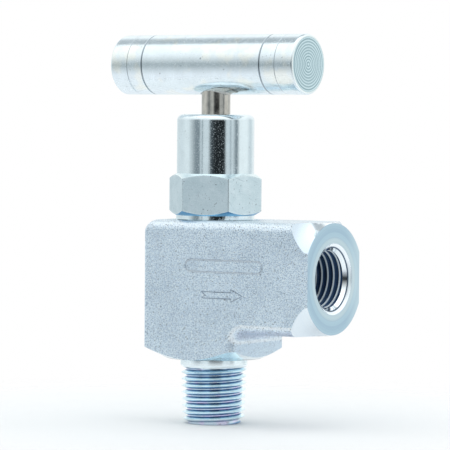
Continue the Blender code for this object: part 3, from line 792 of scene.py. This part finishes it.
def inlet_stub():
    """The male pipe thread and its collar, reaching up into the forging."""
    length, root = INLET_THREAD_LENGTH, INLET_CREST - PIPE_DEPTH
    thread = Thread(0, length, PIPE_PITCH, INLET_CREST, root, PIPE_TAPER, high_chamfer=False)
    ease = 0.25 * MM
    shoulder = length + 0.45 * MM
    inside_forging = BODY_BOTTOM + 4 * MM
    outline = [
        (0, 0),
        thread,
        (root + PIPE_TAPER * length, length + 0.15 * MM),
        (COLLAR_RADIUS - ease, shoulder - ease),
        *arc((COLLAR_RADIUS - ease, shoulder + ease), ease, -60, 0, 3),
        (COLLAR_RADIUS, inside_forging),
        (0, inside_forging),
    ]
    return turned(outline, MEDIUM)


def body_bore():
    """The bore along the stem's axis: inlet, seat, chamber, gasket shelf, bonnet thread, spot face."""
    low, high = GASKET_SHELF + 1.5 * MM, SPOT_FACE - 0.4 * MM
    crest, root = BONNET_CREST + THREAD_CLEARANCE, BONNET_ROOT + THREAD_CLEARANCE
    outline = [
        (0, -OVERSHOOT),
        (INLET_BORE + 0.4 * MM + OVERSHOOT, -OVERSHOOT),
        (INLET_BORE, 0.4 * MM),
        (INLET_BORE, SEAT_HEIGHT - 3.2 * MM),
        (SEAT_ORIFICE, SEAT_HEIGHT - 2.5 * MM),
        (SEAT_ORIFICE, SEAT_HEIGHT),
        (SEAT_ORIFICE + CHAMBER_FLOOR - SEAT_HEIGHT, CHAMBER_FLOOR),
        (CHAMBER_RADIUS, CHAMBER_FLOOR),
        (CHAMBER_RADIUS, GASKET_SHELF),
        (BONNET_ROOT, GASKET_SHELF),
        Thread(low, high, BONNET_PITCH, crest, root, high_chamfer=False),
        (BONNET_CREST + 0.3 * MM, SPOT_FACE),
        (SPOT_FACE_RADIUS, SPOT_FACE),
        (SPOT_FACE_RADIUS, BODY_TOP + OVERSHOOT),
        (0, BODY_TOP + OVERSHOOT),
    ]
    return turned(outline, COARSE)


def outlet_bore():
    """The cross hole, tap drill, tapered thread and countersink, from the chamber out past the face."""
    low = OUTLET_REACH - OUTLET_THREAD_DEPTH
    high = OUTLET_REACH - OUTLET_MOUTH_DEPTH
    crest = OUTLET_CREST - PIPE_TAPER * OUTLET_THREAD_DEPTH
    drill = crest - PIPE_DEPTH
    thread = Thread(low, high, PIPE_PITCH, crest, drill, PIPE_TAPER, high_chamfer=False)
    drill_end = OUTLET_REACH - OUTLET_DRILL_DEPTH
    mouth = OUTLET_CREST - PIPE_DEPTH
    step = OUTLET_REACH - OUTLET_STEP_DEPTH
    past = OUTLET_REACH + 0.5 * MM
    ease = 0.15 * MM
    inside_chamber = CHAMBER_RADIUS - 2 * MM
    outline = [
        (0, inside_chamber),
        (CROSS_HOLE, inside_chamber),
        (CROSS_HOLE, drill_end - 1.5 * MM),
        (drill, drill_end),
        thread,
        (mouth, high),
        (OUTLET_STEP - 0.15 * MM, step - 0.05 * MM),
        (OUTLET_STEP, step),
        (OUTLET_COUNTERSINK - ease, OUTLET_REACH - ease),
        (OUTLET_COUNTERSINK + 0.1 * ease, OUTLET_REACH - 0.2 * ease),
        (OUTLET_COUNTERSINK + ease, past),
        (0, past),
    ]
    return turned(outline, MEDIUM)


def stamped_line(points):
    """A bead that follows a closed outline on the front face, for cutting a round groove."""
    curve = bpy.data.curves.new("stamp", "CURVE")
    curve.dimensions = "3D"
    curve.bevel_depth = MARK_RADIUS
    curve.bevel_resolution = 3
    spline = curve.splines.new("POLY")
    spline.points.add(len(points) - 1)
    spline.use_cyclic_u = True
    depth = BODY_HALF_WIDTH + MARK_RADIUS - MARK_DEPTH
    for point, (x, z) in zip(spline.points, points):
        point.co = (x, -depth, z, 1.0)
    holder = bpy.data.objects.new("stamp", curve)
    bm = bmesh.new()
    bm.from_mesh(holder.to_mesh())
    holder.to_mesh_clear()
    bpy.data.objects.remove(holder)
    bmesh.ops.recalc_face_normals(bm, faces=bm.faces)
    return bm


def flow_arrow():
    """The outline of a stamped arrow that shows the flow from the inlet to the outlet."""
    shaft = 0.66 * MM
    head = 1.3 * MM
    tail, notch, neck, tip = 3.6 * MM, 4.4 * MM, 10.8 * MM, 13.6 * MM
    middle = 27.8 * MM
    return [
        (tail, middle - shaft),
        (neck, middle - shaft),
        (neck, middle - head),
        (tip, middle),
        (neck, middle + head),
        (neck, middle + shaft),
        (tail, middle + shaft),
        (notch, middle),
    ]


def blank_panel():
    """The outline of a plain stamped panel with round ends."""
    left, right, middle, end = 0.7 * MM, 17.1 * MM, 33.8 * MM, 1.25 * MM
    return [
        *arc((right, middle), end, -90, 90, 12),
        *arc((left, middle), end, 90, 270, 12),
    ]


def make_body(forged, stamped, turned_x, turned_z):
    body = forging(forged)
    shape(body, "INTERSECT", outlet_envelope(), turned_x, along_x(OUTLET_HEIGHT) @ TWIST)
    shape(body, "DIFFERENCE", bottom_cut(), turned_z, TWIST)
    ease_edges(body, TURNED_EDGE, 24)
    shape(body, "UNION", inlet_stub(), turned_z, Matrix.Rotation(INLET_CLOCKING, 4, "Z"))
    shape(body, "DIFFERENCE", body_bore(), turned_z)
    shape(body, "DIFFERENCE", outlet_bore(), turned_x, along_x(OUTLET_HEIGHT))
    shape(body, "DIFFERENCE", stamped_line(flow_arrow()), stamped)
    shape(body, "DIFFERENCE", stamped_line(blank_panel()), stamped)
    return finish_shading(body)


# ---------------- bonnet


def hex_envelope():
    """The 30 degree chamfers that turn the hexagon's corners off at both ends."""
    inner = HEX_FLATS / 2 - 0.5 * MM
    outer = corner_radius(HEX_FLATS) + OVERSHOOT
    rise = (outer - inner) * math.tan(math.radians(30))
    outline = [
        (0, HEX_LOW),
        (inner, HEX_LOW),
        (outer, HEX_LOW + rise),
        (outer, HEX_HIGH - rise),
        (inner, HEX_HIGH),
        (0, HEX_HIGH),
    ]
    return turned(outline, FINE)


def bonnet_core():
    """The turned parts above and below the hexagon: the round housing, washer face and threaded nose."""
    thread_low, thread_high = NOSE_END + 0.9 * MM, SPOT_FACE - 1.0 * MM
    washer_low, washer_high = SPOT_FACE + 0.05 * MM, HEX_LOW + 0.5 * MM
    edge = arc((HOUSING_RADIUS - HOUSING_EDGE, HOUSING_TOP - HOUSING_EDGE), HOUSING_EDGE, 0, 90, 12)
    ease = 0.15 * MM
    outline = [
        (0, NOSE_END),
        (BONNET_ROOT - 0.3 * MM, NOSE_END),
        Thread(thread_low, thread_high, BONNET_PITCH, BONNET_CREST, BONNET_ROOT),
        (BONNET_ROOT, washer_low),
        (WASHER_FACE_RADIUS - ease, washer_low),
        (WASHER_FACE_RADIUS, washer_low + ease),
        (WASHER_FACE_RADIUS, washer_high),
        (HOUSING_RADIUS, washer_high),
        *edge,
        (0, HOUSING_TOP),
    ]
    return turned(outline, MEDIUM)


def bonnet_bore():
    """The seal bore, stem thread, back seat, wiper groove and top hole."""
    major, minor = STEM_CREST + THREAD_CLEARANCE, STEM_ROOT + THREAD_CLEARANCE
    back_seat_low = BACK_SEAT_TOP - (major - TOP_HOLE)
    low, high = SEAL_BORE_TOP + 0.3 * MM, back_seat_low - 0.6 * MM
    outline = [
        (0, NOSE_END - OVERSHOOT),
        (SEAL_BORE, NOSE_END - OVERSHOOT),
        (SEAL_BORE, SEAL_BORE_TOP),
        Thread(low, high, STEM_PITCH, major, minor, low_chamfer=False, high_chamfer=False),
        (major, high),
        (major, back_seat_low),
        (TOP_HOLE, BACK_SEAT_TOP),
        (TOP_HOLE, WIPER_LOW),
        (WIPER_GROOVE, WIPER_LOW),
        (WIPER_GROOVE, WIPER_HIGH),
        (TOP_HOLE, WIPER_HIGH),
        (TOP_HOLE, HOUSING_TOP - 0.4 * MM),
        (TOP_HOLE + 0.4 * MM + OVERSHOOT, HOUSING_TOP + OVERSHOOT),
        (0, HOUSING_TOP + OVERSHOOT),
    ]
    return turned(outline, COARSE)


def make_bonnet(hexagonal, round_finish):
    bm = prism(hexagon(HEX_FLATS, HEX_CLOCKING), HEX_LOW, HEX_HIGH)
    corners = [e for e in bm.edges if abs(e.verts[0].co.z - e.verts[1].co.z) > 1 * MM]
    bmesh.ops.bevel(bm, geom=corners, offset=0.16 * MM, segments=3, profile=0.5, affect="EDGES")
    bonnet = mesh_object("bonnet_fine", bm, hexagonal)
    shape(bonnet, "INTERSECT", hex_envelope(), hexagonal, TWIST)
    shape(bonnet, "UNION", bonnet_core(), round_finish)
    shape(bonnet, "DIFFERENCE", bonnet_bore(), round_finish)
    return finish_shading(bonnet, 24)


# ---------------- spindle


def make_stem(finish):
    """One turned stem: ball cup, seal land with its groove, thread, back seat and plain rod."""
    cup = BALL_RADIUS + 0.08 * MM
    lip = BALL_RADIUS - 0.14 * MM
    tip = BALL_HEIGHT - 0.9 * MM
    cup_top = BALL_HEIGHT + BALL_RADIUS + 0.1 * MM
    thread_low = GROOVE_HIGH + 4.4 * MM
    thread_high = 53.6 * MM
    shoulder_top = BACK_SEAT_TOP - LIFT_TO_BACK_SEAT
    outline = [
        (0, cup_top),
        (cup * 0.55, cup_top),
        (cup, BALL_HEIGHT + BALL_RADIUS * 0.5),
        (cup, tip + 0.55 * MM),
        (lip, tip + 0.1 * MM),
        (lip, tip),
        (TIP_RADIUS - 0.45 * MM, tip),
        (TIP_RADIUS, tip + 0.9 * MM),
        (TIP_RADIUS, GROOVE_LOW - 2.7 * MM),
        (LAND_RADIUS - 0.3 * MM, GROOVE_LOW - 1.4 * MM),
        (LAND_RADIUS, GROOVE_LOW - 1.1 * MM),
        (LAND_RADIUS, GROOVE_LOW),
        (GROOVE_RADIUS, GROOVE_LOW),
        (GROOVE_RADIUS, GROOVE_HIGH),
        (LAND_RADIUS, GROOVE_HIGH),
        (LAND_RADIUS, GROOVE_HIGH + 0.8 * MM),
        (LAND_RADIUS - 0.3 * MM, GROOVE_HIGH + 1.1 * MM),
        (STEM_ROOT, GROOVE_HIGH + 1.1 * MM),
        Thread(thread_low, thread_high, STEM_PITCH, STEM_CREST, STEM_ROOT),
        (SHOULDER_RADIUS, thread_high + 0.1 * MM),
        (SHOULDER_RADIUS, shoulder_top - (SHOULDER_RADIUS - TOP_HOLE)),
        (ROD_RADIUS, shoulder_top + TOP_HOLE - ROD_RADIUS),
        (ROD_RADIUS, ROD_TOP - 0.4 * MM),
        (ROD_RADIUS - 0.4 * MM, ROD_TOP),
        (0, ROD_TOP),
    ]
    return finish_shading(mesh_object("stem_fine", turned(outline, COARSE), finish))


def make_ball(finish):
    outline = [(0, -BALL_RADIUS), *arc((0, 0), BALL_RADIUS, -86, 86, 44), (0, BALL_RADIUS)]
    lift = Matrix.Translation((0, 0, BALL_HEIGHT))
    return finish_shading(mesh_object("ball_tip_fine", turned(outline, COARSE), finish, lift))


def ring_groove(middle, depth):
    """A rounded groove round the bar, with its middle here: points from the bar's end inwards."""
    steps = 6
    return [
        (HANDLE_RADIUS - depth * math.sin(math.pi * k / steps), middle + depth * (1 - 2 * k / steps))
        for k in range(steps + 1)
    ]


def handle_outline():
    """The bar's outline: end faces with turning rings, round edges, and two ring grooves near each end."""
    end, low = HANDLE_HALF_LENGTH, HANDLE_HALF_LENGTH - END_RING_DEPTH
    half = [(0, low)]
    for k in range(END_RINGS):
        half.append(((k + 0.5) * END_RING_PITCH, end))
        half.append(((k + 1) * END_RING_PITCH, low))
    half.append((END_RINGS * END_RING_PITCH + 0.12 * MM, end))
    half += arc((HANDLE_RADIUS - HANDLE_EDGE, end - HANDLE_EDGE), HANDLE_EDGE, 90, 0, 6)
    for inset, depth in ((4.4 * MM, 0.10 * MM), (8.2 * MM, 0.22 * MM)):
        half += ring_groove(end - inset, depth)
    return [(r, -z) for r, z in half] + [(r, z) for r, z in reversed(half)]


def make_handle(bar_finish, screw_finish):
    """The bar and its set screw, in the bar's own space, then set on the stem."""
    bar = mesh_object("handle_bar_fine", turned(handle_outline(), FINE), bar_finish, along_x())
    hole = ROD_RADIUS + 0.06 * MM
    socket = [
        (0, -HANDLE_RADIUS - OVERSHOOT),
        (hole + 0.5 * MM + OVERSHOOT, -HANDLE_RADIUS - OVERSHOOT),
        (hole, -HANDLE_RADIUS + 0.5 * MM),
        (hole, 3.2 * MM),
        (0, 4.6 * MM),
    ]
    shape(bar, "DIFFERENCE", turned(socket, COARSE), bar_finish)
    backwards = Matrix.Rotation(-math.pi / 2, 4, "X")
    mouth, thread_end = HANDLE_RADIUS + OVERSHOOT, HANDLE_RADIUS - 0.35 * MM
    major, minor = SCREW_CREST + THREAD_CLEARANCE, SCREW_ROOT + THREAD_CLEARANCE
    tapped = [
        (0, 1.5 * MM),
        (SCREW_ROOT, 1.5 * MM),
        Thread(2.2 * MM, thread_end, SCREW_PITCH, major, minor, high_chamfer=False),
        (major, thread_end),
        (major, mouth),
        (0, mouth),
    ]
    shape(bar, "DIFFERENCE", turned(tapped, COARSE), bar_finish, backwards)
    low, high = ROD_RADIUS + 0.08 * MM, HANDLE_RADIUS - 0.55 * MM
    screw_outline = [
        (0, low + 0.3 * MM),
        (SCREW_ROOT - 0.7 * MM, low),
        (SCREW_ROOT - 0.3 * MM, low),
        Thread(low + 0.25 * MM, high, SCREW_PITCH, SCREW_CREST, SCREW_ROOT),
        (0, high),
    ]
    screw = mesh_object("handle_set_screw_fine", turned(screw_outline, COARSE), screw_finish, backwards)
    key = prism(hexagon(KEY_FLATS), high - KEY_DEPTH, high + OVERSHOOT)
    shape(screw, "DIFFERENCE", key, screw_finish, backwards)
    for piece in (bar, screw):
        finish_shading(piece)
        piece.location = (0, 0, HANDLE_HEIGHT)
        piece.rotation_euler = (0, 0, HANDLE_CLOCKING)
    return bar, screw


def make_wiper(finish):
    gap = 0.05 * MM
    lip = ROD_RADIUS + 0.05 * MM
    section = [
        (WIPER_GROOVE - gap, WIPER_LOW + gap),
        (WIPER_GROOVE - gap, WIPER_HIGH - gap),
        (lip + 0.06 * MM, WIPER_HIGH - gap),
        (lip, WIPER_HIGH - gap - 0.06 * MM),
        (lip + 0.35 * MM, WIPER_LOW + 0.6 * MM),
        (lip + 0.35 * MM, WIPER_LOW + gap),
    ]
    return finish_shading(mesh_object("stem_wiper_fine", turned(section, COARSE, ring=True), finish))


def stand_for(piece, node, body):
    """The piece rides on the body and hides the CAD node."""
    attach(piece, body)
    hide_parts(node)


# ---------------- studio


def camera_axes():
    """Unit vectors from the valve to the camera, to the picture's right, and up the picture."""
    a, e = CAMERA_AZIMUTH, CAMERA_ELEVATION
    back = Vector((math.sin(a) * math.cos(e), -math.cos(a) * math.cos(e), math.sin(e)))
    right = Vector((math.cos(a), math.sin(a), 0))
    return back, right, back.cross(right)


def make_camera():
    back, right, _ = camera_axes()
    data = bpy.data.cameras.new("camera")
    data.sensor_width = 36.0
    data.lens = data.sensor_width * CAMERA_DISTANCE / FIELD
    data.clip_start, data.clip_end = 0.05, 10.0
    camera = bpy.data.objects.new("camera", data)
    aim = right * AIM_RIGHT + Vector((0, 0, AIM_HEIGHT))
    camera.location = aim + back * CAMERA_DISTANCE
    facing = (-back).to_track_quat("-Z", "Y").to_matrix().to_4x4()
    camera.rotation_euler = (facing @ Matrix.Rotation(CAMERA_ROLL, 4, "Z")).to_euler()
    bpy.context.scene.collection.objects.link(camera)
    bpy.context.scene.camera = camera


# What stands round the valve at eye level, by bearing from the camera in degrees, positive to the
# right: (from, to, brightness, softness of its left side, of its right side, brightness of the panel
# that follows on the right).
EYE_LEVEL = (
    (-150, -118, 0.79, 20, 18, 0.87),  # dim end of the left softbox
    (-61, -50, 0.29, 27, 5, 0.72),  # wall beyond the left softbox
    (-41, -39.5, 0.38, 2, 2.5, 0.76),  # gap between two panels
    (-14, -14, 0.10, 8, 12, 0.02),  # black flag behind the camera: its lit margin
    (-2, 26, 0.02, 0, 6, 0.73),  # and its middle
    (44, 46, 0.48, 3, 2.5, 0.74),  # gap between two panels
    (62.5, 67, 0.28, 10, 9, 0.97),  # light stand on the right
    (122, 130, 0.76, 14, 14, 0.95),  # dim end of the right softbox
)
# The brightness of the wall behind the valve.
BEHIND = 0.94


def studio_world():
    """A white sweep all round, a softbox overhead that ends towards the back, a dim floor below the
    camera, and at eye level the panels and flags that give turned metal its bands. The camera itself
    sees plain white."""
    world = bpy.data.worlds.new("studio")
    bpy.context.scene.world = world
    world.use_nodes = True
    tree = world.node_tree
    tree.nodes.clear()
    n = Nodes(tree)
    back, right, _ = camera_axes()
    level = Vector((back.x, back.y, 0)).normalized()
    direction = n.make("ShaderNodeTexCoord").outputs["Generated"]
    ahead = n.vector("DOT_PRODUCT", direction, tuple(level))
    aside = n.vector("DOT_PRODUCT", direction, tuple(right))
    up = n.vector("DOT_PRODUCT", direction, (0, 0, 1))
    bearing = n.math("ARCTAN2", aside, ahead)

    around = n.make("ShaderNodeValToRGB")
    tree.links.new(n.math("ADD", n.math("DIVIDE", bearing, 2 * math.pi), 0.5), around.inputs[0])
    stops = {-180: BEHIND}
    before = BEHIND
    for start, end, brightness, soft_left, soft_right, after in EYE_LEVEL:
        stops[start - soft_left] = before
        stops[start] = stops[end] = brightness
        stops[end + soft_right] = before = after
    stops[180] = BEHIND
    ramp = around.color_ramp
    for k, (degrees, brightness) in enumerate(stops.items()):
        place = degrees / 360 + 0.5
        stop = ramp.elements[k] if k == 0 else ramp.elements.new(place)
        stop.position = place
        red, blue = 0.80 + 0.14 * brightness, 1.12 - 0.12 * brightness
        stop.color = (brightness * red, brightness, brightness * blue, 1.0)
    ramp.elements.remove(ramp.elements[len(stops)])

    height = n.math("DIVIDE", n.math("ARCSINE", up), math.pi / 180)
    rear = n.times(n.between(ahead, -0.20, -0.36), n.between(up, 0.58, 0.80))
    overhead = n.mix(n.ramp(height, 36, 70), (1.10, 1.14, 1.15), (1.45, 1.50, 1.52))
    sky = n.mix(rear, overhead, (0.50, 0.55, 0.58))
    front = n.between(ahead, 0.35, 0.80)
    floor = n.mix(front, (0.94, 0.98, 1.02), (0.82, 0.87, 0.93))
    colour = n.mix(n.ramp(height, 2, 34), around.outputs[0], sky)
    colour = n.mix(n.ramp(height, -4, -32), colour, floor)
    backdrop = n.make("ShaderNodeBackground")
    n.feed(backdrop, {"Color": colour, "Strength": 1.0})
    plain = n.make("ShaderNodeBackground")
    n.feed(plain, {"Color": (1.0, 1.0, 1.0, 1.0), "Strength": 1.0})
    seen = n.make("ShaderNodeMixShader")
    n.feed(seen, {
        0: n.make("ShaderNodeLightPath").outputs["Is Camera Ray"],
        1: backdrop.outputs[0],
        2: plain.outputs[0],
    })
    output = n.make("ShaderNodeOutputWorld")
    tree.links.new(seen.outputs[0], output.inputs[0])


# The floor: its radius, where it starts and ends fading out, and how far it lies below the inlet's end.
FLOOR_RADIUS = 0.30
FADE_START, FADE_END = 0.03, 0.12
FLOOR_GAP = 0.02 * MM


def make_floor():
    """A plain pale floor that fades into the white of the background away from the valve."""
    bm = bmesh.new()
    bmesh.ops.create_circle(bm, cap_ends=True, segments=96, radius=FLOOR_RADIUS)
    floor_finish, n, shader = new_material("pale_floor")
    n.feed(shader, {"Base Color": (0.92, 0.92, 0.92, 1.0), "Roughness": 0.7})
    shader.inputs["Specular IOR Level"].default_value = 0.1
    clear = n.make("ShaderNodeBsdfTransparent")
    place = n.make("ShaderNodeTexCoord").outputs["Object"]
    fade = n.between(n.vector("LENGTH", place), FADE_START, FADE_END)
    mixed = n.make("ShaderNodeMixShader")
    n.feed(mixed, {0: fade, 1: shader.outputs[0], 2: clear.outputs[0]})
    output = floor_finish.node_tree.nodes["Material Output"]
    floor_finish.node_tree.links.new(mixed.outputs[0], output.inputs[0])
    floor = mesh_object("floor", bm, floor_finish)
    floor.location = (0, 0, BODY_LOW.z - FLOOR_GAP)


def main():
    pale = (0.82, 0.90, 0.94)
    bright = turned_zinc("zinc_turned_bonnet", "Z", pale, 0.07, 0.002 * MM, 0.8)
    bar_zinc = turned_zinc("zinc_turned_handle", "X", pale, 0.12, 0.003 * MM, 2.1, bar_ends)
    stainless = ground_stainless()

    # The stamped grooves take the forging's finish darkened all over, a painted shade.
    body = make_body(forged_zinc(), forged_zinc("zinc_plated_stamping_painted_shade", 0.76), outlet_zinc(), inlet_zinc())
    stand_for(body, "valve_body", "housing")
    bonnet = make_bonnet(milled_zinc(), bright)
    stand_for(bonnet, "bonnet", "housing")
    wiper = make_wiper(plain_finish("urethane", (0.05, 0.08, 0.14), 0.5, 0.0))
    stand_for(wiper, "stem_wiper", "housing")
    stem = make_stem(stainless)
    stand_for(stem, "stem", "spindle")
    ball = make_ball(stainless)
    stand_for(ball, "ball_tip", "needle")
    bar, screw = make_handle(bar_zinc, plain_finish("black_oxide_steel", (0.06, 0.06, 0.07), 0.4, 1.0))
    stand_for(bar, "handle_bar", "spindle")
    stand_for(screw, "handle_set_screw", "spindle")

    hidden_finishes = {
        "bonnet_gasket": plain_finish("copper", (0.80, 0.42, 0.28), 0.35, 1.0),
        "stem_o_ring": plain_finish("nitrile_rubber", (0.02, 0.02, 0.02), 0.7, 0.0),
        "backup_ring_lower": plain_finish("ptfe", (0.90, 0.90, 0.88), 0.5, 0.0),
    }
    hidden_finishes["backup_ring_upper"] = hidden_finishes["backup_ring_lower"]
    for node, finish in hidden_finishes.items():
        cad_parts[node].data.materials.clear()
        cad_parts[node].data.materials.append(finish)

    make_floor()
    studio_world()
    make_camera()
    bpy.context.scene.view_settings.view_transform = "Standard"


main()
